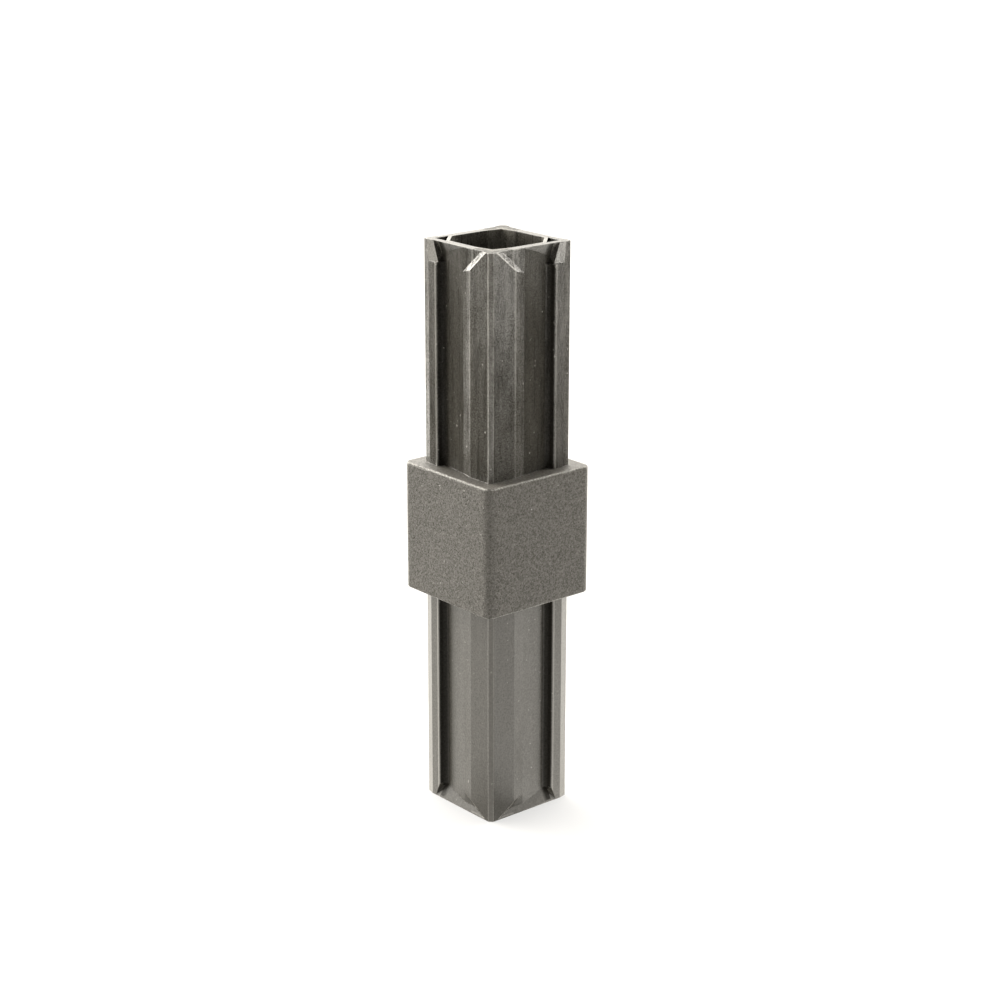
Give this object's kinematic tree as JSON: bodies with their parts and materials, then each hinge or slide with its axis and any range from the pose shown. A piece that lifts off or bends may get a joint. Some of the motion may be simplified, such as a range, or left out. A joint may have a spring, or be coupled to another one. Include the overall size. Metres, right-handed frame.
{
  "type": "straight tube connector",
  "caption": "Straight push-in connector for square tube: a square block between two hollow legs with raised corner pads and pointed leading ends.",
  "frame": {"origin": "centre of the block, midway between the two open leg ends", "axes": "+Z along the legs towards the upper one; X and Y are square to the block's faces"},
  "size_m": [0.02, 0.02, 0.088],
  "materials": {
    "moulded_plastic": "matt spark-eroded grain on the block, smoother satin with drawn streaks on the legs"
  },
  "bodies": {
    "root": {"connector": "moulded_plastic"}
  },
  "joints": []
}
